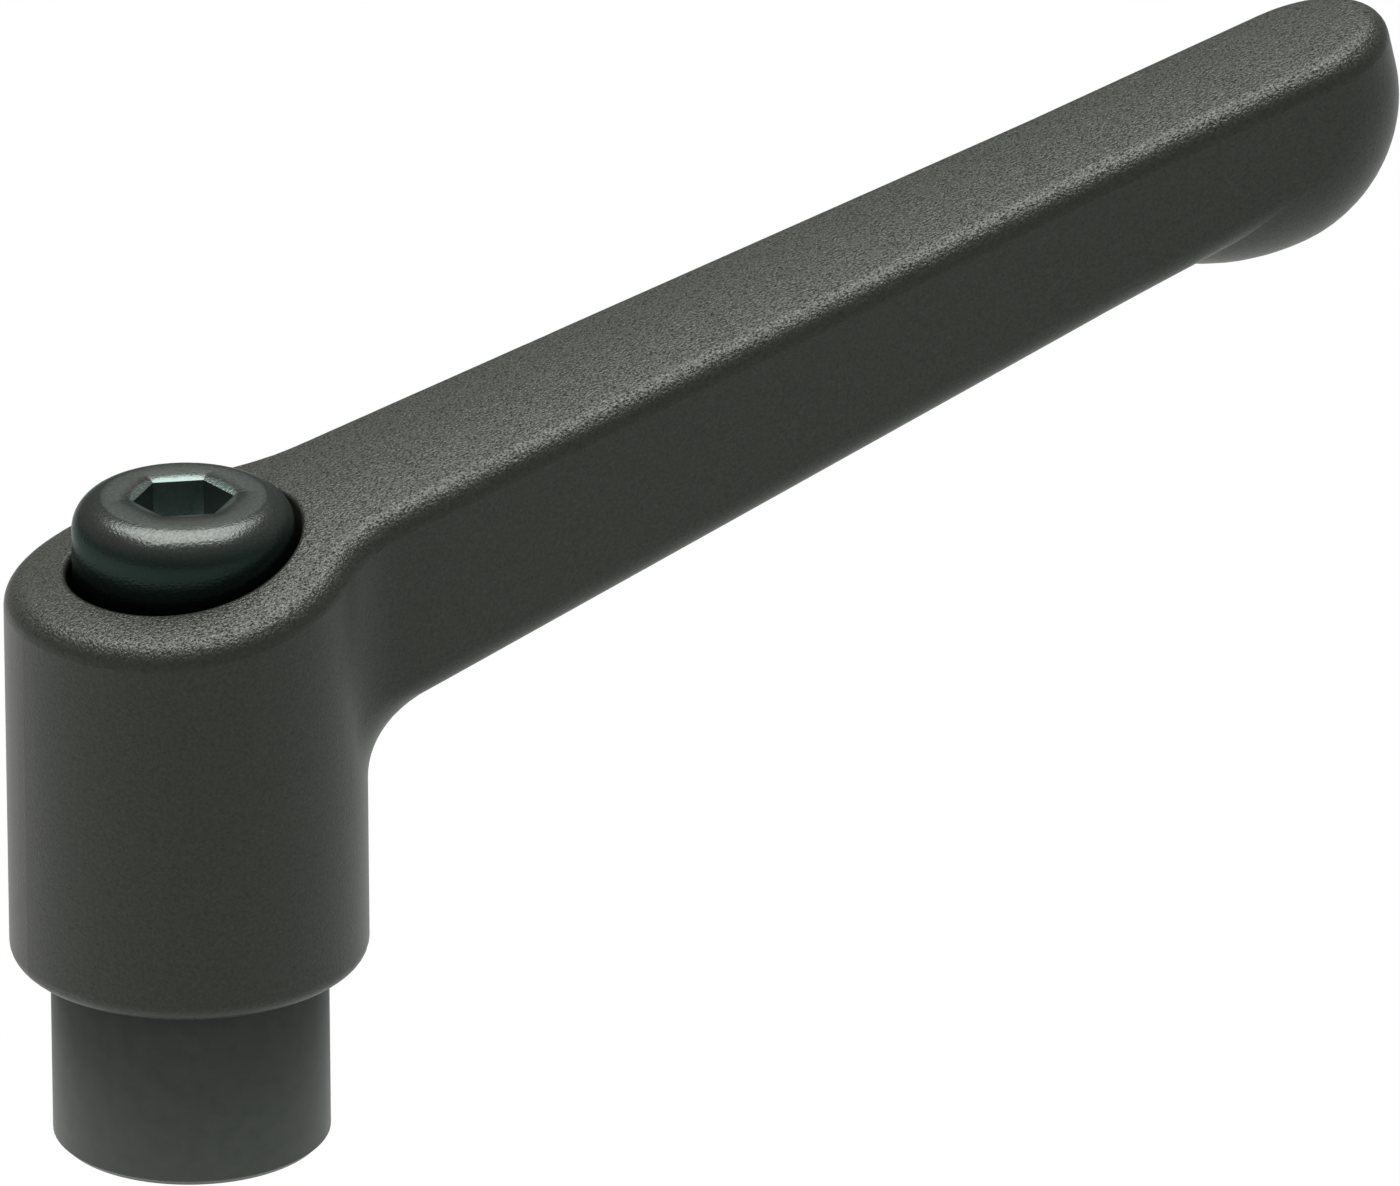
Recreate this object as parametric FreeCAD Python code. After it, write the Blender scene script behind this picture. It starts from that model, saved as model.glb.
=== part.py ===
"""Adjustable clamping lever with a tapped insert.

A die-cast lever sits on a steel insert through a ring of serrations. A shouldered screw
holds it there, and a coil spring under the screw's head presses it down. Lifting the lever
frees the serrations, and it can be turned to a new position.

Frame: millimetres, origin at the centre of the insert's lower face, +Z up along the hub
axis, +X along the arm. The lever is symmetric about the XZ plane.
"""
import FreeCAD, Part
import math
import os

V = FreeCAD.Vector
UP = V(0, 0, 1)
AXIS_FOOT = V(0, 0, 0)

# Insert: the foot that is screwed down, with an M10 thread from below
FOOT_D = 16.0
FOOT_EXPOSED = 11.25
FOOT_EDGE_CHAMFER = 0.35
PILOT_LENGTH = 8.4
TAP_DRILL_D = 8.5
TAP_MOUTH_D = 10.4
DRILL_POINT_ANGLE = 118.0
BORE_FLOOR = 1.0

# Serration between insert and lever
TEETH = 24
SEAT_WIDTH = 1.0
TOOTH_HEIGHT = 0.85
TOOTH_FLAT_SHARE = 0.16
TOOTH_LENGTH = 3.35
TOOTH_CLEARANCE = 0.08
PILOT_CLEARANCE = 0.05
TOOTH_TOP_CLEARANCE = 0.2

# Hub
HUB_WALL = 2.33
HUB_HEIGHT = 25.4
TOP_SLOPE = 13.5
TOP_CROWN_R = 38.0
TOP_EDGE_R = 1.5
HUB_FOOT_EDGE_R = 1.0
PILOT_MOUTH_CHAMFER = 0.3
WEB_THICKNESS = 2.5
WEB_HOLE_CLEARANCE = 0.2
HEAD_CLEARANCE = 0.35
COUNTERBORE_EDGE_R = 0.3

# Arm, measured along the inclined top
ARM_LENGTH = 79.9
ARM_WIDTH_AT_AXIS = 13.5
TIP_WIDTH = 9.9
TAPER_BLEND = 4.0
ARM_DEPTH_AT_AXIS = 13.15
DEPTH_TAPER = 3.6
LOWER_EDGE_R = 1.8
JUNCTION_R = 6.5

# Thumb bulb under the tip
BULB_R = 8.7
BULB_CENTRE_DEPTH = 3.6
BULB_HEEL_R = 15.5
BULB_HEEL_SWEEP = 45.0
NOSE_LENGTH = 5.6

# Retaining screw
HEAD_D = 12.8
HEAD_HEIGHT = 6.75
HEAD_EDGE_R = 2.0
SOCKET_ACROSS_FLATS = 5.0
SOCKET_DEPTH = 3.6
SOCKET_MOUTH_BEVEL = 0.15
SOCKET_CORNER_ANGLE = -20.0
SHOULDER_D = 8.0
SCREW_PITCH_D = 5.35
SCREW_THREAD_LENGTH = 6.0
THREAD_CLEARANCE = 0.03
SCREW_HOLE_SPARE = 0.5
SCREW_END_CHAMFER = 0.5

# Spring
WIRE_D = 0.9
SPRING_LENGTH = 7.18
SPRING_TURNS = 3.5
CLOSED_TURNS = 0.75
CLOSED_TURN_GAP = 0.05
SPRING_SEAT_GAP = 0.02
PITCH_BLEND = 0.4
POINTS_PER_TURN = 16

# Distance within which a point counts as on an edge
EDGE_TOLERANCE = 1e-4

# Where along an edge its points are tested
SAMPLE_SHARES = (0.1, 0.35, 0.65, 0.9)

# How far the blank of the lever is drawn above its top before the top is cut
BLANK_RISE = 9.0

# How far a cutting solid runs past the face it opens
CUT_OVERRUN = 1.0

# Heights that follow
SEAT_Z = FOOT_EXPOSED + PILOT_LENGTH
INSERT_TOP = SEAT_Z + TOOTH_LENGTH
THREAD_FOOT_Z = INSERT_TOP - SCREW_THREAD_LENGTH
WEB_FOOT_Z = INSERT_TOP + TOOTH_TOP_CLEARANCE
WEB_TOP_Z = WEB_FOOT_Z + WEB_THICKNESS
HUB_TOP_AT_AXIS = FOOT_EXPOSED + HUB_HEIGHT
HEAD_FOOT_Z = WEB_TOP_Z + SPRING_LENGTH
HEAD_TOP = HEAD_FOOT_Z + HEAD_HEIGHT

# Radii that follow
HUB_R = FOOT_D / 2 + HUB_WALL
TOOTH_TIP_R = FOOT_D / 2 - SEAT_WIDTH
TOOTH_ROOT_R = TOOTH_TIP_R - TOOTH_HEIGHT
COUNTERBORE_R = HEAD_D / 2 + HEAD_CLEARANCE
SPRING_MEAN_R = (SHOULDER_D / 2 + COUNTERBORE_R) / 2


def polygon_face(points):
    return Part.Face(Part.makePolygon(points + [points[0]]))


def revolved(profile):
    """A solid of revolution about the hub axis, from (radius, height) points."""
    face = polygon_face([V(r, 0, z) for r, z in profile])
    return face.revolve(AXIS_FOOT, UP, 360)


def edges_where(shape, test):
    """Edges of the shape whose sampled points all pass the test."""
    found = []
    for edge in shape.Edges:
        first, last = edge.ParameterRange
        samples = [edge.valueAt(first + (last - first) * share) for share in SAMPLE_SHARES]
        if all(test(p) for p in samples):
            found.append(edge)
    return found


def drill_point(radius):
    """Length of the cone that a drill of this radius leaves."""
    return radius / math.tan(math.radians(DRILL_POINT_ANGLE / 2))


def serration_prism(tip_r, root_r, z_foot, height):
    """A toothed bar: V-shaped teeth with narrow flats at tip and root."""
    pitch = 2 * math.pi / TEETH
    flat = pitch * TOOTH_FLAT_SHARE / 2
    points = []
    for tooth in range(TEETH):
        middle = tooth * pitch
        for radius, angle in (
            (tip_r, middle - flat),
            (tip_r, middle + flat),
            (root_r, middle + pitch / 2 - flat),
            (root_r, middle + pitch / 2 + flat),
        ):
            points.append(V(radius * math.cos(angle), radius * math.sin(angle), z_foot))
    return polygon_face(points).extrude(UP * height)


def threaded_insert():
    """Steel foot: plain below, serrated at the top, tapped from below and from above."""
    foot_r = FOOT_D / 2
    chamfer = FOOT_EDGE_CHAMFER
    foot = revolved([
        (0, 0), (foot_r - chamfer, 0), (foot_r, chamfer),
        (foot_r, SEAT_Z), (0, SEAT_Z),
    ])
    teeth = serration_prism(TOOTH_TIP_R, TOOTH_ROOT_R, SEAT_Z, TOOTH_LENGTH)
    body = foot.fuse(teeth)
    tap_r = TAP_DRILL_D / 2
    mouth_r = TAP_MOUTH_D / 2
    hole_foot = THREAD_FOOT_Z - SCREW_HOLE_SPARE
    point_z = hole_foot - BORE_FLOOR
    tapped_bore = revolved([
        (0, 0), (mouth_r, 0), (tap_r, mouth_r - tap_r),
        (tap_r, point_z - drill_point(tap_r)), (0, point_z),
    ])
    screw_hole = Part.makeCylinder(SCREW_PITCH_D / 2, INSERT_TOP - hole_foot, V(0, 0, hole_foot))
    return body.cut([tapped_bore, screw_hole]).removeSplitter()


def arm_depth(x):
    """Depth of the arm below its top, at this distance along the top."""
    return ARM_DEPTH_AT_AXIS - x * math.tan(math.radians(DEPTH_TAPER))


def bulb_centre():
    return V(ARM_LENGTH - BULB_R, 0, -BULB_CENTRE_DEPTH)


def half_oval(nose_x, height):
    """The round nose of the arm, seen from above, starting at this distance and height."""
    half_w = TIP_WIDTH / 2
    middle = V(nose_x, 0, height)
    side = V(nose_x, half_w, height)
    end = V(nose_x + NOSE_LENGTH, 0, height)
    if half_w >= NOSE_LENGTH:
        return Part.ArcOfEllipse(Part.Ellipse(side, end, middle), 0, math.pi).toShape()
    return Part.ArcOfEllipse(Part.Ellipse(end, side, middle), -math.pi / 2, math.pi / 2).toShape()


def arm_outline():
    """The arm seen square to its top: tapered sides that run straight at the bulb, round nose."""
    root_w = ARM_WIDTH_AT_AXIS / 2
    tip_w = TIP_WIDTH / 2
    nose_x = ARM_LENGTH - NOSE_LENGTH
    straight_x = ARM_LENGTH - 2 * BULB_R - TAPER_BLEND / 2
    taper_x = straight_x - TAPER_BLEND / 2
    taper = V(taper_x, tip_w - root_w, 0).normalize()
    before = V(taper_x, tip_w, 0) - taper * (TAPER_BLEND / 2)
    after = V(straight_x, tip_w, 0)
    turn = math.atan2(-taper.y, taper.x)
    radius = TAPER_BLEND / 2 / math.tan(turn / 2)
    middle = V(straight_x - radius * math.sin(turn / 2), tip_w + radius * (1 - math.cos(turn / 2)), 0)

    def mirrored(p):
        return V(p.x, -p.y, p.z)

    edges = [
        Part.makeLine(V(0, -root_w, 0), V(0, root_w, 0)),
        Part.makeLine(V(0, root_w, 0), before),
        Part.Arc(before, middle, after).toShape(),
        Part.makeLine(after, V(nose_x, tip_w, 0)),
        half_oval(nose_x, 0),
        Part.makeLine(V(nose_x, -tip_w, 0), mirrored(after)),
        Part.Arc(mirrored(after), mirrored(middle), mirrored(before)).toShape(),
        Part.makeLine(mirrored(before), V(0, -root_w, 0)),
    ]
    return Part.Face(Part.Wire(Part.__sortEdges__(edges)))


def arm_blank():
    """The arm drawn level, with its top at height 0, raised by the blank's allowance."""
    centre = bulb_centre()
    taper = math.radians(DEPTH_TAPER)
    foot_distance = (centre.z + arm_depth(centre.x)) * math.cos(taper)
    foot_x = centre.x + foot_distance * math.sin(taper)
    beyond = ARM_LENGTH + BULB_R
    side = polygon_face([
        V(0, 0, -arm_depth(0)), V(foot_x, 0, -arm_depth(foot_x)),
        V(ARM_LENGTH - NOSE_LENGTH, 0, centre.z), V(beyond, 0, centre.z),
        V(beyond, 0, BLANK_RISE), V(0, 0, BLANK_RISE),
    ])
    slab = side.extrude(V(0, 2 * ARM_WIDTH_AT_AXIS, 0))
    slab.translate(V(0, -ARM_WIDTH_AT_AXIS, 0))
    outline = arm_outline()
    outline.translate(V(0, 0, -2 * ARM_DEPTH_AT_AXIS))
    bar = outline.extrude(UP * (2 * ARM_DEPTH_AT_AXIS + BLANK_RISE)).common(slab)

    def on_lower_edge(p):
        low = abs(p.z + arm_depth(p.x)) < EDGE_TOLERANCE
        return low and abs(p.y) > TIP_WIDTH / 2 - EDGE_TOLERANCE

    return bar.makeFillet(LOWER_EDGE_R, edges_where(bar, on_lower_edge))


def bulb_sector(centre, radius, start, sweep):
    """A sector of a thick disc that lies across the arm and has the nose's oval as its rim."""
    half_w = TIP_WIDTH / 2
    nose_x = centre.x + radius - NOSE_LENGTH
    corners = [
        V(nose_x, half_w, centre.z), V(centre.x, half_w, centre.z),
        V(centre.x, -half_w, centre.z), V(nose_x, -half_w, centre.z),
    ]
    edges = [Part.makeLine(p, q) for p, q in zip(corners, corners[1:])]
    edges.append(half_oval(nose_x, centre.z))
    profile = Part.Face(Part.Wire(Part.__sortEdges__(edges)))
    profile.rotate(centre, V(0, 1, 0), start)
    return profile.revolve(centre, V(0, 1, 0), sweep)


def thumb_bulb():
    """Round bulb under the tip, with a longer heel on the side of the hub."""
    centre = bulb_centre()
    heel_centre = centre + UP * (BULB_HEEL_R - BULB_R)
    tip = bulb_sector(centre, BULB_R, 0, 90)
    heel = bulb_sector(heel_centre, BULB_HEEL_R, 90, BULB_HEEL_SWEEP)
    return tip.fuse(heel)


def tilted(shape):
    """Carries what is drawn level to the inclined top of the hub."""
    shape.translate(V(0, 0, HUB_TOP_AT_AXIS))
    shape.rotate(V(0, 0, HUB_TOP_AT_AXIS), V(0, 1, 0), -TOP_SLOPE)
    return shape


def height_over_incline(p):
    """Distance of a point from the plane of the inclined top's crest, positive above it."""
    slope = math.radians(TOP_SLOPE)
    return (p.z - HUB_TOP_AT_AXIS) * math.cos(slope) - p.x * math.sin(slope)


def height_over_top(p):
    """Distance of a point from the inclined and crowned top, positive above it."""
    return math.hypot(p.y, height_over_incline(p) + TOP_CROWN_R) - TOP_CROWN_R


def space_over_top():
    """What is cut off the blank: all that lies above the crowned top."""
    reach = ARM_LENGTH + HUB_R
    half_w = HUB_R + CUT_OVERRUN
    fall = TOP_CROWN_R - math.sqrt(TOP_CROWN_R ** 2 - half_w ** 2)
    block = Part.makeBox(2 * reach, 2 * half_w, reach, V(-reach, -half_w, -fall))
    crown = Part.makeCylinder(TOP_CROWN_R, 2 * reach, V(-reach, 0, -TOP_CROWN_R), V(1, 0, 0))
    return tilted(block.cut(crown))


def lever_form():
    """The outer form of the casting: hub, arm and bulb in one, closed by the inclined top."""
    blank_top = HUB_TOP_AT_AXIS + BLANK_RISE
    hub = Part.makeCylinder(HUB_R, blank_top - FOOT_EXPOSED, V(0, 0, FOOT_EXPOSED))
    hub.rotate(AXIS_FOOT, UP, 180)
    form = hub.fuse(tilted(arm_blank()))

    def on_junction(p):
        on_hub = abs(math.hypot(p.x, p.y) - HUB_R) < EDGE_TOLERANCE
        between_ends = FOOT_EXPOSED + EDGE_TOLERANCE < p.z < blank_top - EDGE_TOLERANCE
        below = height_over_incline(p) < BLANK_RISE - EDGE_TOLERANCE
        return on_hub and between_ends and below and p.x > 0

    form = form.makeFillet(JUNCTION_R, edges_where(form, on_junction))
    form = form.fuse(tilted(thumb_bulb())).removeSplitter()
    form = form.cut(space_over_top())

    def on_top(p):
        return abs(height_over_top(p)) < EDGE_TOLERANCE

    form = form.makeFillet(TOP_EDGE_R, edges_where(form, on_top))

    def on_hub_foot(p):
        return abs(p.z - FOOT_EXPOSED) < EDGE_TOLERANCE

    return form.makeFillet(HUB_FOOT_EDGE_R, edges_where(form, on_hub_foot))


def lever():
    """The casting: its outer form, bored for the insert, the screw and the spring."""
    pilot_r = FOOT_D / 2 + PILOT_CLEARANCE
    chamfer_z = FOOT_EXPOSED + PILOT_MOUTH_CHAMFER
    start_z = FOOT_EXPOSED - CUT_OVERRUN
    pilot = revolved([
        (0, start_z), (pilot_r + chamfer_z - start_z, start_z),
        (pilot_r, chamfer_z), (pilot_r, SEAT_Z), (0, SEAT_Z),
    ])
    teeth = serration_prism(
        TOOTH_TIP_R + TOOTH_CLEARANCE, TOOTH_ROOT_R + TOOTH_CLEARANCE,
        SEAT_Z, WEB_FOOT_Z - SEAT_Z,
    )
    hole_r = SHOULDER_D / 2 + WEB_HOLE_CLEARANCE
    hole_length = WEB_THICKNESS + 2 * CUT_OVERRUN
    hole = Part.makeCylinder(hole_r, hole_length, V(0, 0, WEB_FOOT_Z - CUT_OVERRUN))
    bore_length = HUB_TOP_AT_AXIS + BLANK_RISE - WEB_TOP_Z
    counterbore = Part.makeCylinder(COUNTERBORE_R, bore_length, V(0, 0, WEB_TOP_Z))
    casting = lever_form().cut([pilot, teeth, hole, counterbore])

    def on_bore_rim(p):
        on_bore = abs(math.hypot(p.x, p.y) - COUNTERBORE_R) < EDGE_TOLERANCE
        return on_bore and abs(height_over_top(p)) < EDGE_TOLERANCE

    return casting.makeFillet(COUNTERBORE_EDGE_R, edges_where(casting, on_bore_rim))


def hexagon(across_flats, height):
    corner_r = across_flats / math.sqrt(3)
    turns = [math.radians(SOCKET_CORNER_ANGLE + 60 * k) for k in range(6)]
    return [V(corner_r * math.cos(t), corner_r * math.sin(t), height) for t in turns]


def socket_cut():
    """Hexagon socket with a bevelled mouth and a drilled point at its floor."""
    floor = HEAD_TOP - SOCKET_DEPTH
    outline = polygon_face(hexagon(SOCKET_ACROSS_FLATS, floor))
    prism = outline.extrude(UP * (SOCKET_DEPTH + CUT_OVERRUN))
    inner_r = SOCKET_ACROSS_FLATS / 2
    point = Part.makeCone(0, inner_r, drill_point(inner_r), V(0, 0, floor - drill_point(inner_r)))
    rings = []
    for rise in (-SOCKET_MOUTH_BEVEL, SOCKET_MOUTH_BEVEL):
        across = SOCKET_ACROSS_FLATS + 2 * (rise + SOCKET_MOUTH_BEVEL)
        corners = hexagon(across, HEAD_TOP + rise)
        rings.append(Part.makePolygon(corners + [corners[0]]))
    bevel = Part.makeLoft(rings, True, True)
    return prism.fuse([point, bevel])


def retaining_screw():
    """Shouldered screw: round-edged head, plain shoulder that seats on the insert, threaded end."""
    head_r = HEAD_D / 2
    shoulder_r = SHOULDER_D / 2
    thread_r = SCREW_PITCH_D / 2 - THREAD_CLEARANCE
    blank = revolved([
        (0, THREAD_FOOT_Z), (thread_r - SCREW_END_CHAMFER, THREAD_FOOT_Z),
        (thread_r, THREAD_FOOT_Z + SCREW_END_CHAMFER), (thread_r, INSERT_TOP),
        (shoulder_r, INSERT_TOP), (shoulder_r, HEAD_FOOT_Z),
        (head_r, HEAD_FOOT_Z), (head_r, HEAD_TOP), (0, HEAD_TOP),
    ])

    def on_head_edge(p):
        rim = abs(math.hypot(p.x, p.y) - head_r) < EDGE_TOLERANCE
        return rim and abs(p.z - HEAD_TOP) < EDGE_TOLERANCE

    blank = blank.makeFillet(HEAD_EDGE_R, edges_where(blank, on_head_edge))
    return blank.cut(socket_cut())


def spring_path():
    """The wire's centre line: closed end turns with open turns between them."""
    foot = WEB_TOP_Z + SPRING_SEAT_GAP + WIRE_D / 2
    top = HEAD_FOOT_Z - SPRING_SEAT_GAP - WIRE_D / 2
    open_turns = SPRING_TURNS - 2 * CLOSED_TURNS
    closed_pitch = WIRE_D + CLOSED_TURN_GAP
    closed_rise = CLOSED_TURNS * closed_pitch
    open_rise = top - foot - 2 * closed_rise
    count = round(SPRING_TURNS * POINTS_PER_TURN)
    points = []
    for step in range(count + 1):
        turn = SPRING_TURNS * step / count
        if turn < CLOSED_TURNS:
            height = foot + closed_pitch * turn
        elif turn > SPRING_TURNS - CLOSED_TURNS:
            height = top - closed_pitch * (SPRING_TURNS - turn)
        else:
            share = (turn - CLOSED_TURNS) / open_turns
            smooth = share * share * (3 - 2 * share)
            blended = PITCH_BLEND * smooth + (1 - PITCH_BLEND) * share
            height = foot + closed_rise + open_rise * blended
        angle = 2 * math.pi * turn
        points.append(V(SPRING_MEAN_R * math.cos(angle), SPRING_MEAN_R * math.sin(angle), height))
    curve = Part.BSplineCurve()
    curve.interpolate(points)
    return curve


def compression_spring():
    """Coil spring between the web of the lever and the screw's head."""
    curve = spring_path()
    start = curve.value(curve.FirstParameter)
    along = curve.tangent(curve.FirstParameter)[0]
    section = Part.Wire(Part.makeCircle(WIRE_D / 2, start, along))
    return Part.Wire(curve.toShape()).makePipeShell([section], True, True)


def main():
    os.makedirs("parts", exist_ok=True)
    parts = {
        "threaded_insert": threaded_insert(),
        "lever": lever(),
        "compression_spring": compression_spring(),
        "retaining_screw": retaining_screw(),
    }
    for name, shape in parts.items():
        shape.exportStep("parts/" + name + ".step")
        print(name, shape.isValid(), len(shape.Solids), round(shape.Volume, 2))


if __name__ == "__main__":
    main()
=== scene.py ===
"""Looks of an adjustable clamping lever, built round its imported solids."""
import math

import bmesh
import bpy
from mathutils import Matrix, Vector


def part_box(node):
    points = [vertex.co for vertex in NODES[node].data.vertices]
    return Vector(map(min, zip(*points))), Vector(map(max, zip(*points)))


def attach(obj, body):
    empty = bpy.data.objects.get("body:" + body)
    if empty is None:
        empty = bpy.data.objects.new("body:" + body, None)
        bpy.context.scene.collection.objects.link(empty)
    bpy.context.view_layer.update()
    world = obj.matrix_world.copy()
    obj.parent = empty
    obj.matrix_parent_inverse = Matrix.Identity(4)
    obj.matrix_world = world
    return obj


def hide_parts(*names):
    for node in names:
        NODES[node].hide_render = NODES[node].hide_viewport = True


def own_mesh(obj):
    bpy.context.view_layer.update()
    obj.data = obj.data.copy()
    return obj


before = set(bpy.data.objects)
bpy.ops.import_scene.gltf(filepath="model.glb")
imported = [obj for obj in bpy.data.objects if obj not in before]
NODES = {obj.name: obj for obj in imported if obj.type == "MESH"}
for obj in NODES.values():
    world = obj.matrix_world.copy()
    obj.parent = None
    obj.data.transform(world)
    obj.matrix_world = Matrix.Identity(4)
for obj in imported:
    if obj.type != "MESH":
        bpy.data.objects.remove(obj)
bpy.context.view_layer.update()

MM = 0.001

# The photograph's frame and the lever's place in it; angles are in degrees
PHOTO_WIDTH = 1400
PHOTO_HEIGHT = 1186
SENSOR_WIDTH = 36.0
FOCAL_PX = 21000
PX_PER_MM = 17.518
VIEW_ELEVATION = 23.48
VIEW_AZIMUTH = 28.0
VIEW_ROLL = -0.187
TARGET = Vector((0, 0, 25 * MM))
TARGET_PX = (186.62, 731.22)
CLIP_START = 0.05
CLIP_END = 50

# Thread in the insert, ISO metric
THREAD_PITCH = 1.5 * MM
THREAD_ROOT_R = 5.02 * MM
THREAD_ROOT_WIDTH = 0.24 * MM
THREAD_INNER_R = 4.0 * MM
THREAD_FLANK = 30.0
THREAD_END_Z = 11.4 * MM
STEPS_PER_TURN = 48

# Share of the groove's depth at its two ends, and the height over which it deepens
THREAD_START_SHARE = 0.05
THREAD_RUN_IN = 0.6 * MM

# Hexagon socket of the screw and the bevel round its mouth
HEX_SIDES = 6
SOCKET_ACROSS = 5.0 * MM
SOCKET_TURN = -20.0
MOUTH_WIDTH = 0.32 * MM
MOUTH_DEPTH = 0.17 * MM
MOUTH_OVERLAP = 0.1 * MM

# Shorter edges than this are closed up in the cut pieces
SMALLEST_EDGE = 0.004 * MM

# Edges steeper than this, in degrees, stay sharp in the cut pieces
INSERT_SHARP = 28
SCREW_SHARP = 20

# In the materials below, SPOTS and GRAIN are a noise's scale, detail and, where it isn't the usual
# one, roughness. FACING_UP is a value's low and high end and, where they aren't the usual ones,
# the slopes between which it rises. RELIEF is a bump's strength and distance.
NOISE_MEAN = 0.5

COATING_ROUGHNESS = 0.4
COATING_TINT = (0.97, 1.0, 0.92, 1.0)
COATING_SPOTS = (4200, 2.0)
COATING_COLOURS = [(0.3, (0.023, 0.025, 0.020)), (0.7, (0.035, 0.037, 0.030))]
COATING_GRAIN = (6800, 1.5)
COATING_RELIEF_FACING_UP = (0.35, 1.0)
COATING_RELIEF_DISTANCE = 0.07 * MM
COATING_SHEEN = 0.5
COATING_SHEEN_FACING_UP = (0.4, 2.7)

INSERT_METALLIC = 0.2
INSERT_ROUGHNESS = 0.45
INSERT_SPOTS = (900, 4.0, 0.6)
INSERT_COLOURS = [(0.35, (0.070, 0.077, 0.069)), (0.65, (0.081, 0.088, 0.079))]
INSERT_GRAIN = (5000, 2.0)
INSERT_RELIEF = (0.12, 0.02 * MM)

SCREW_METALLIC = 0.85
SCREW_TINT = (0.5, 0.55, 0.53, 1.0)
SCREW_SPOTS = (6000, 2.0)
SCREW_COLOURS = [(0.3, (0.066, 0.073, 0.068)), (0.7, (0.104, 0.110, 0.102))]
# The screw's faces that look up are coloured lighter and its sides darker: a painted highlight above
# and painted shade on the sides
SCREW_PAINTED_HIGHLIGHT_FACING_UP = (0.0, 1.0, 0.1, 0.75)
SCREW_SIDE_PAINTED_SHADE = (0.024, 0.038, 0.034, 1)
# The socket is coloured lighter than the rest of the head: painted light in the recess
SCREW_SOCKET_PAINTED_LIGHT = (0.15, 0.19, 0.175, 1)
SCREW_SOCKET_PAINTED_LIGHT_EDGE_R = (2.95 * MM, 3.1 * MM)
SCREW_ROUGHNESS_FACING_UP = (0.26, 0.5, 0.975, 1.0)
SCREW_GRAIN = (6500, 1.5)
SCREW_RELIEF = (0.5, 0.045 * MM)

SPRING_METALLIC = 1.0
SPRING_ROUGHNESS = 0.3
SPRING_COLOUR = (0.36, 0.37, 0.39, 1.0)

# One large softbox, nearly overhead
KEY_PLACE = (0.08, 0.2, 1.1)
KEY_TARGET = Vector((25 * MM, 0, 35 * MM))
KEY_WIDTH = 1.3
KEY_HEIGHT = 1.1
KEY_RADIANCE = 4.8

# Floor and world change a little along this direction, from the front to the back of the studio: the
# world's light, and the floor's colour, whose darker front is painted shade
SWEEP_AZIMUTH = VIEW_AZIMUTH - 50
WORLD_SWEEP = 0.5
WORLD_LEVEL = 0.28
WORLD_FRONT_TINT = (0.94, 1, 0.98)
FLOOR_PAINTED_SHADE_REACH = 0.25
# The floor's colour is darker towards the front: painted shade
FLOOR_PAINTED_SHADES = [(0.0, (0.56, 0.58, 0.57)), (1.0, (0.73, 0.73, 0.73))]
FLOOR_SEEN_WHITE = 0.95
FLOOR_Z = -120 * MM
FLOOR_SIZE = 12.0


def new_material(name):
    material = bpy.data.materials.new(name)
    material.use_nodes = True
    tree = material.node_tree
    shader = next(n for n in tree.nodes if n.type == "BSDF_PRINCIPLED")
    return material, tree, shader


def empty_tree(owner):
    """The cleared node tree of a material or world."""
    owner.use_nodes = True
    owner.node_tree.nodes.clear()
    return owner.node_tree


def set_inputs(tree, node, inputs):
    """Links each of these inputs to an output, or sets it to a value."""
    for key, value in inputs.items():
        if isinstance(value, bpy.types.NodeSocket):
            tree.links.new(value, node.inputs[key])
        else:
            node.inputs[key].default_value = value


def add_node(tree, kind, inputs):
    node = tree.nodes.new(kind)
    set_inputs(tree, node, inputs)
    return node


def calculate(tree, kind, operation, *values):
    """A Math or Vector Math node over the values."""
    node = tree.nodes.new(kind)
    node.operation = operation
    set_inputs(tree, node, dict(enumerate(values)))
    return node


def object_point(tree):
    return tree.nodes.new("ShaderNodeTexCoord").outputs["Object"]


def noise(tree, scale, detail, roughness=0.5):
    inputs = {
        "Vector": object_point(tree), "Scale": scale, "Detail": detail, "Roughness": roughness,
    }
    return add_node(tree, "ShaderNodeTexNoise", inputs).outputs["Fac"]


def ramp(tree, source, stops):
    """A colour ramp over the source, between two (place, colour) stops."""
    node = add_node(tree, "ShaderNodeValToRGB", {"Fac": source})
    for element, (place, colour) in zip(node.color_ramp.elements, stops):
        element.position = place
        element.color = (*colour, 1.0)
    return node.outputs["Color"]


def bump(tree, shader, source, strength, distance):
    inputs = {"Height": source, "Strength": strength, "Distance": distance}
    relief = add_node(tree, "ShaderNodeBump", inputs)
    tree.links.new(relief.outputs["Normal"], shader.inputs["Normal"])


def map_range(tree, source, start, end, low=0.0, high=1.0, kind="SMOOTHSTEP"):
    """The low value up to the source's start, the high one from its end on."""
    node = tree.nodes.new("ShaderNodeMapRange")
    node.interpolation_type = kind
    set_inputs(tree, node, {
        "Value": source, "From Min": start, "From Max": end, "To Min": low, "To Max": high,
    })
    return node.outputs["Result"]


def mixed(tree, share, constant, source):
    """The constant colour where the share is 0, the source's colour where it is 1."""
    inputs = {"Fac": share, "Color1": constant, "Color2": source}
    return add_node(tree, "ShaderNodeMixRGB", inputs).outputs["Color"]


def mix_shaders(tree, share, first, second):
    """The first shader where the share is 0, the second where it is 1."""
    inputs = {"Fac": share, 1: first.outputs[0], 2: second.outputs[0]}
    return add_node(tree, "ShaderNodeMixShader", inputs)


def facing_up(tree, low, high, start=0.2, end=0.8):
    """The low value on upright and hanging faces, rising to the high one on faces that look up."""
    normal = tree.nodes.new("ShaderNodeNewGeometry").outputs["Normal"]
    split = add_node(tree, "ShaderNodeSeparateXYZ", {"Vector": normal})
    return map_range(tree, split.outputs["Z"], start, end, low, high)


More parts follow.
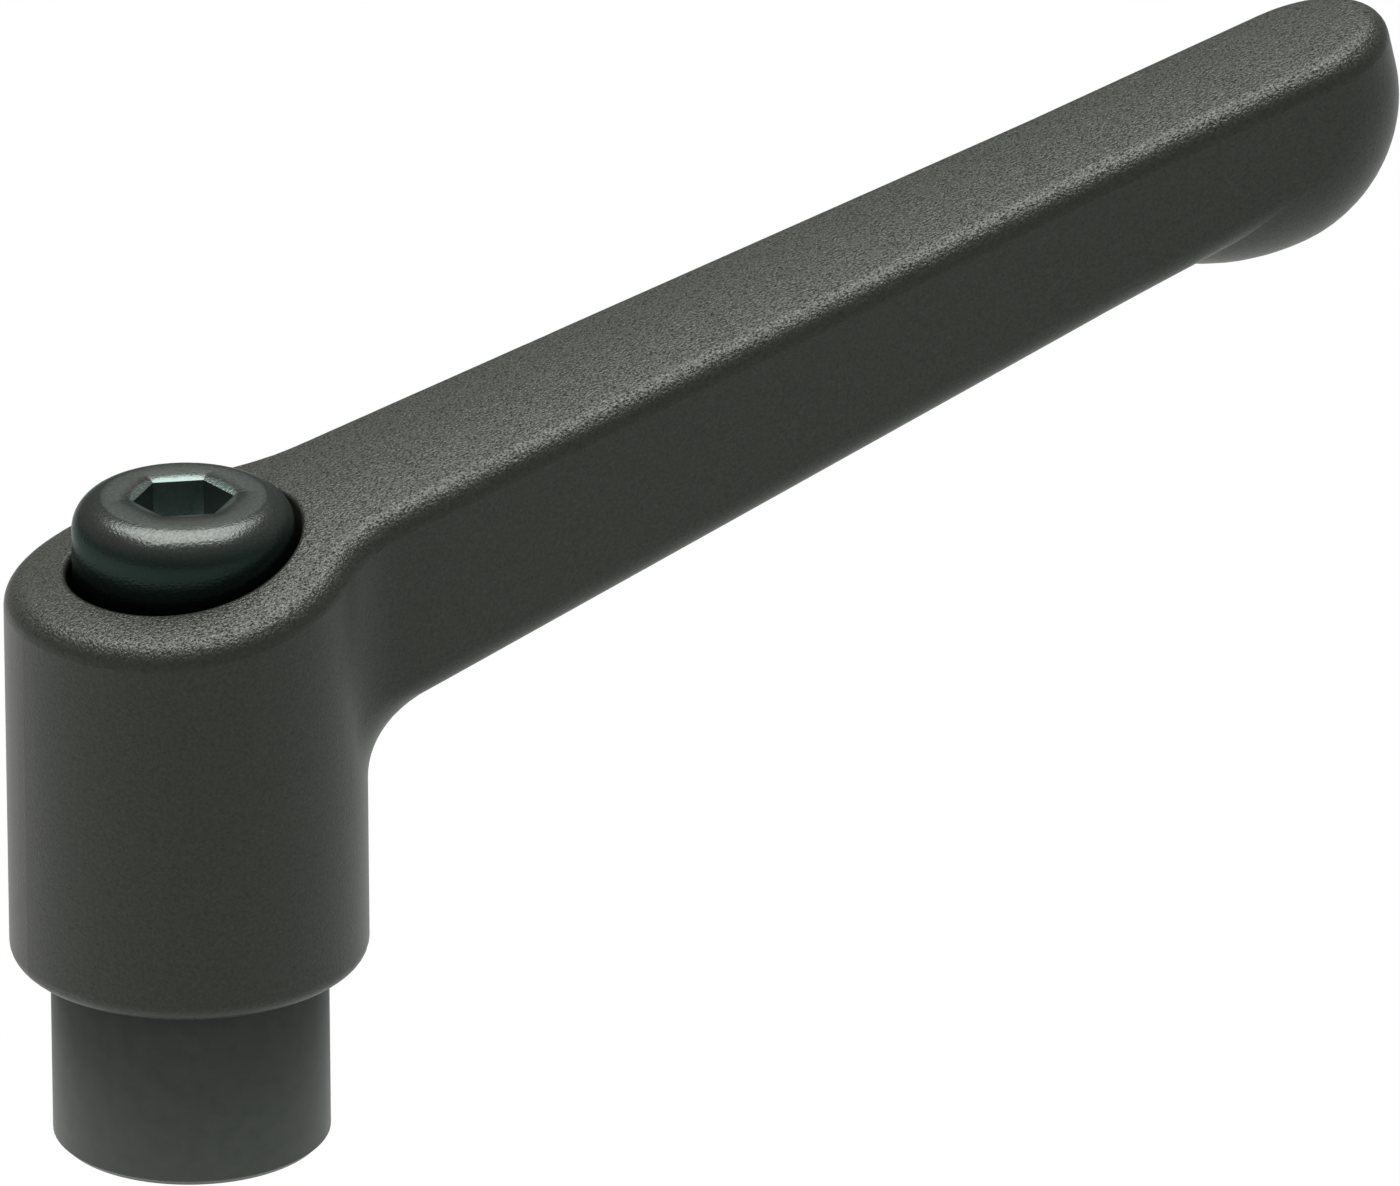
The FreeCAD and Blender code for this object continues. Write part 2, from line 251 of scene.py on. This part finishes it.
def speckle(tree, source):
    """A sheen that varies from grain to grain, most on faces that look up."""
    offset = calculate(tree, "ShaderNodeMath", "SUBTRACT", source, NOISE_MEAN)
    spread = facing_up(tree, *COATING_SHEEN_FACING_UP)
    values = (offset.outputs[0], spread, COATING_SHEEN)
    return calculate(tree, "ShaderNodeMath", "MULTIPLY_ADD", *values).outputs[0]


def textured_coating():
    """Matt dark coating with a fine sandy grain."""
    material, tree, shader = new_material("textured_coating")
    grain = noise(tree, *COATING_GRAIN)
    set_inputs(tree, shader, {
        "Base Color": ramp(tree, noise(tree, *COATING_SPOTS), COATING_COLOURS),
        "Roughness": COATING_ROUGHNESS,
        "Specular Tint": COATING_TINT,
        "Specular IOR Level": speckle(tree, grain),
    })
    strength = facing_up(tree, *COATING_RELIEF_FACING_UP)
    bump(tree, shader, grain, strength, COATING_RELIEF_DISTANCE)
    return material


def blackened_steel():
    """Smooth steel of the insert, with a dark finish that varies a little over the surface."""
    material, tree, shader = new_material("insert_steel")
    set_inputs(tree, shader, {
        "Base Color": ramp(tree, noise(tree, *INSERT_SPOTS), INSERT_COLOURS),
        "Metallic": INSERT_METALLIC,
        "Roughness": INSERT_ROUGHNESS,
    })
    bump(tree, shader, noise(tree, *INSERT_GRAIN), *INSERT_RELIEF)
    return material


def outside_painted_socket_light(tree):
    """0 in the screw's socket, 1 outside it: where the socket's painted light fades out."""
    point = object_point(tree)
    across = calculate(tree, "ShaderNodeVectorMath", "MULTIPLY", point, (1, 1, 0))
    radius = calculate(tree, "ShaderNodeVectorMath", "LENGTH", across.outputs["Vector"])
    return map_range(tree, radius.outputs["Value"], *SCREW_SOCKET_PAINTED_LIGHT_EDGE_R, kind="LINEAR")


def forged_steel():
    """Dark steel of the screw: a rough, speckled upper face, smoother sides. Faces that look up are
    painted lighter and the sides darker, a painted highlight and painted shade, and the socket is
    painted lighter, painted light in the recess.
    """
    material, tree, shader = new_material("screw_steel")
    upper = ramp(tree, noise(tree, *SCREW_SPOTS), SCREW_COLOURS)
    body = mixed(tree, facing_up(tree, *SCREW_PAINTED_HIGHLIGHT_FACING_UP), SCREW_SIDE_PAINTED_SHADE, upper)
    set_inputs(tree, shader, {
        "Base Color": mixed(tree, outside_painted_socket_light(tree), SCREW_SOCKET_PAINTED_LIGHT, body),
        "Metallic": SCREW_METALLIC,
        "Roughness": facing_up(tree, *SCREW_ROUGHNESS_FACING_UP),
        "Specular Tint": SCREW_TINT,
    })
    bump(tree, shader, noise(tree, *SCREW_GRAIN), *SCREW_RELIEF)
    return material


def spring_steel():
    material, tree, shader = new_material("spring_steel")
    set_inputs(tree, shader, {
        "Base Color": SPRING_COLOUR,
        "Metallic": SPRING_METALLIC,
        "Roughness": SPRING_ROUGHNESS,
    })
    return material


def finish(piece, material):
    piece.data.materials.clear()
    piece.data.materials.append(material)


def add_object(name, data):
    added = bpy.data.objects.new(name, data)
    bpy.context.scene.collection.objects.link(added)
    return added


def add_mesh(name, vertices, faces):
    mesh = bpy.data.meshes.new(name)
    mesh.from_pydata(vertices, [], faces)
    mesh.update()
    return add_object(name, mesh)


def groove_cutter():
    """The helical body that cuts the thread's groove out of the bore's wall."""
    flank = math.tan(math.radians(THREAD_FLANK))
    outer_half = THREAD_ROOT_WIDTH / 2
    inner_half = outer_half + (THREAD_ROOT_R - THREAD_INNER_R) * flank
    steps = math.ceil(THREAD_END_Z / THREAD_PITCH * STEPS_PER_TURN)
    vertices = []
    for step in range(steps + 1):
        angle = 2 * math.pi * step / STEPS_PER_TURN
        rise = THREAD_PITCH * step / STEPS_PER_TURN
        from_end = min(rise, THREAD_END_Z - rise)
        share = min(1, THREAD_START_SHARE + from_end / THREAD_RUN_IN)
        root_r = THREAD_INNER_R + share * (THREAD_ROOT_R - THREAD_INNER_R)
        section = [
            (THREAD_INNER_R, -inner_half), (root_r, -outer_half),
            (root_r, outer_half), (THREAD_INNER_R, inner_half),
        ]
        for radius, height in section:
            vertices.append((radius * math.cos(angle), radius * math.sin(angle), rise + height))
    count = len(section)
    faces = [tuple(range(count))]
    for step in range(steps):
        a = step * count
        b = a + count
        for i in range(count):
            j = (i + 1) % count
            faces.append((a + i, b + i, b + j, a + j))
    faces.append(tuple(steps * count + i for i in reversed(range(count))))
    return add_mesh("groove_cutter", vertices, faces)


def mouth_cutter():
    """A flat hexagonal funnel that bevels the mouth of the screw's socket."""
    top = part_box("retaining_screw")[1].z
    overlap_depth = MOUTH_OVERLAP * MOUTH_DEPTH / MOUTH_WIDTH
    rings = [
        (SOCKET_ACROSS / 2 - MOUTH_OVERLAP, top - MOUTH_DEPTH - overlap_depth),
        (SOCKET_ACROSS / 2 + 2 * MOUTH_WIDTH, top + MOUTH_DEPTH),
    ]
    vertices = []
    for inner_r, height in rings:
        corner_r = inner_r / math.cos(math.pi / HEX_SIDES)
        for corner in range(HEX_SIDES):
            angle = math.radians(SOCKET_TURN + 360 / HEX_SIDES * corner)
            vertices.append((corner_r * math.cos(angle), corner_r * math.sin(angle), height))
    lower = list(range(HEX_SIDES))
    upper = [i + HEX_SIDES for i in lower]
    faces = [tuple(reversed(lower)), tuple(upper)]
    for i in lower:
        j = (i + 1) % HEX_SIDES
        faces.append((i, j, upper[j], upper[i]))
    return add_mesh("mouth_cutter", vertices, faces)


def cut_copy(node, name, cutter, sharp):
    """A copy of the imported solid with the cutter's form taken out, smooth up to the sharp angle."""
    piece = add_object(name, NODES[node].data.copy())
    cut = piece.modifiers.new("cut", "BOOLEAN")
    cut.operation = "DIFFERENCE"
    cut.solver = "EXACT"
    cut.object = cutter
    bpy.context.view_layer.update()
    made = piece.evaluated_get(bpy.context.evaluated_depsgraph_get())
    mesh = bpy.data.meshes.new_from_object(made)
    piece.modifiers.clear()
    piece.data = mesh
    bpy.data.objects.remove(cutter)
    form = bmesh.new()
    form.from_mesh(mesh)
    bmesh.ops.remove_doubles(form, verts=form.verts, dist=SMALLEST_EDGE)
    bmesh.ops.dissolve_degenerate(form, edges=form.edges, dist=SMALLEST_EDGE)
    form.to_mesh(mesh)
    form.free()
    mesh.shade_smooth()
    mesh.set_sharp_from_angle(angle=math.radians(sharp))
    return piece


def tapped_insert(material):
    """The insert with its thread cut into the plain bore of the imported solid."""
    piece = cut_copy("threaded_insert", "tapped_insert", groove_cutter(), INSERT_SHARP)
    finish(piece, material)
    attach(piece, "insert_and_screw")
    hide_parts("threaded_insert")


def bevelled_screw(material):
    """The retaining screw with a wider bevel at the mouth of its socket."""
    piece = cut_copy("retaining_screw", "bevelled_screw", mouth_cutter(), SCREW_SHARP)
    finish(piece, material)
    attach(piece, "insert_and_screw")
    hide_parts("retaining_screw")


def coiled_spring(material):
    """The spring, a copy of the imported coil that moves with the spring's body."""
    piece = add_object("coiled_spring", NODES["compression_spring"].data.copy())
    finish(piece, material)
    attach(piece, "spring")
    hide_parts("compression_spring")
    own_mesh(piece)


def camera():
    """A long lens at the photograph's place, looking down at the lever from its near side."""
    turn = math.radians(VIEW_AZIMUTH)
    tilt = math.radians(VIEW_ELEVATION)
    roll = math.radians(VIEW_ROLL)
    away = Vector((math.sin(turn), math.cos(turn), 0))
    right = Vector((math.cos(turn), -math.sin(turn), 0))
    up = Vector((0, 0, 1))
    forward = away * math.cos(tilt) - up * math.sin(tilt)
    top = up * math.cos(tilt) + away * math.sin(tilt)
    rolled_right = right * math.cos(roll) + top * math.sin(roll)
    rolled_top = top * math.cos(roll) - right * math.sin(roll)
    distance = FOCAL_PX / PX_PER_MM * MM
    metres_per_px = distance / FOCAL_PX
    place = TARGET - forward * distance
    place -= rolled_right * (TARGET_PX[0] - PHOTO_WIDTH / 2) * metres_per_px
    place += rolled_top * (TARGET_PX[1] - PHOTO_HEIGHT / 2) * metres_per_px
    data = bpy.data.cameras.new("camera")
    data.sensor_width = SENSOR_WIDTH
    data.lens = SENSOR_WIDTH * FOCAL_PX / PHOTO_WIDTH
    data.clip_start = CLIP_START
    data.clip_end = CLIP_END
    view = add_object("camera", data)
    axes = Matrix((rolled_right, rolled_top, -forward)).transposed()
    view.matrix_world = Matrix.Translation(place) @ axes.to_4x4()
    bpy.context.scene.camera = view


def key_light():
    """A rectangular area light that faces its target, with its width level."""
    data = bpy.data.lights.new("key", "AREA")
    data.shape = "RECTANGLE"
    data.size = KEY_WIDTH
    data.size_y = KEY_HEIGHT
    data.energy = KEY_RADIANCE * math.pi * KEY_WIDTH * KEY_HEIGHT
    lamp = add_object("key", data)
    lamp.location = KEY_PLACE
    lamp.rotation_mode = "QUATERNION"
    lamp.rotation_quaternion = (Vector(KEY_PLACE) - KEY_TARGET).to_track_quat("Z", "Y")


def seen_directly(tree):
    """1 for rays of the camera, which see the plain white ground."""
    return tree.nodes.new("ShaderNodeLightPath").outputs["Is Camera Ray"]


def sweep(tree, vector, reach):
    """How far a vector goes along the studio's sweep: 0 at the reach in front, 1 at it behind."""
    turn = math.radians(SWEEP_AZIMUTH)
    along = (math.sin(turn), math.cos(turn), 0)
    dot = calculate(tree, "ShaderNodeVectorMath", "DOT_PRODUCT", vector, along)
    return map_range(tree, dot.outputs["Value"], -reach, reach)


def white_world():
    """White where the camera sees it; a dimmer, even light on the lever, cooler from the front."""
    world = bpy.data.worlds.new("studio")
    bpy.context.scene.world = world
    tree = empty_tree(world)
    front = tuple(WORLD_LEVEL * tint for tint in WORLD_FRONT_TINT)
    back = (WORLD_LEVEL, WORLD_LEVEL, WORLD_LEVEL)
    direction = tree.nodes.new("ShaderNodeTexCoord").outputs["Generated"]
    shade = ramp(tree, sweep(tree, direction, WORLD_SWEEP), [(0.0, front), (1.0, back)])
    light = add_node(tree, "ShaderNodeBackground", {"Color": shade})
    seen = add_node(tree, "ShaderNodeBackground", {"Color": (1, 1, 1, 1)})
    mix = mix_shaders(tree, seen_directly(tree), light, seen)
    add_node(tree, "ShaderNodeOutputWorld", {"Surface": mix.outputs[0]})


def pale_floor():
    """A wide floor, white to the camera and pale grey to the lever, with painted shade darkening its
    front, open from below.
    """
    half = FLOOR_SIZE / 2
    plan = [(-half, -half), (half, -half), (half, half), (-half, half)]
    floor = add_mesh("floor", [(x, y, FLOOR_Z) for x, y in plan], [(0, 1, 2, 3)])
    material = bpy.data.materials.new("white_floor")
    tree = empty_tree(material)
    shade = ramp(tree, sweep(tree, object_point(tree), FLOOR_PAINTED_SHADE_REACH), FLOOR_PAINTED_SHADES)
    matt = add_node(tree, "ShaderNodeBsdfDiffuse", {"Color": shade})
    glow = add_node(tree, "ShaderNodeEmission", {"Strength": 1.0})
    seen = seen_directly(tree)
    share = calculate(tree, "ShaderNodeMath", "MULTIPLY", seen, FLOOR_SEEN_WHITE)
    top = mix_shaders(tree, share.outputs[0], matt, glow)
    clear = tree.nodes.new("ShaderNodeBsdfTransparent")
    below = tree.nodes.new("ShaderNodeNewGeometry").outputs["Backfacing"]
    both = mix_shaders(tree, below, top, clear)
    add_node(tree, "ShaderNodeOutputMaterial", {"Surface": both.outputs[0]})
    floor.data.materials.append(material)


def main():
    finish(NODES["lever"], textured_coating())
    bevelled_screw(forged_steel())
    tapped_insert(blackened_steel())
    coiled_spring(spring_steel())
    camera()
    key_light()
    white_world()
    pale_floor()
    bpy.context.scene.view_settings.view_transform = "Standard"


main()
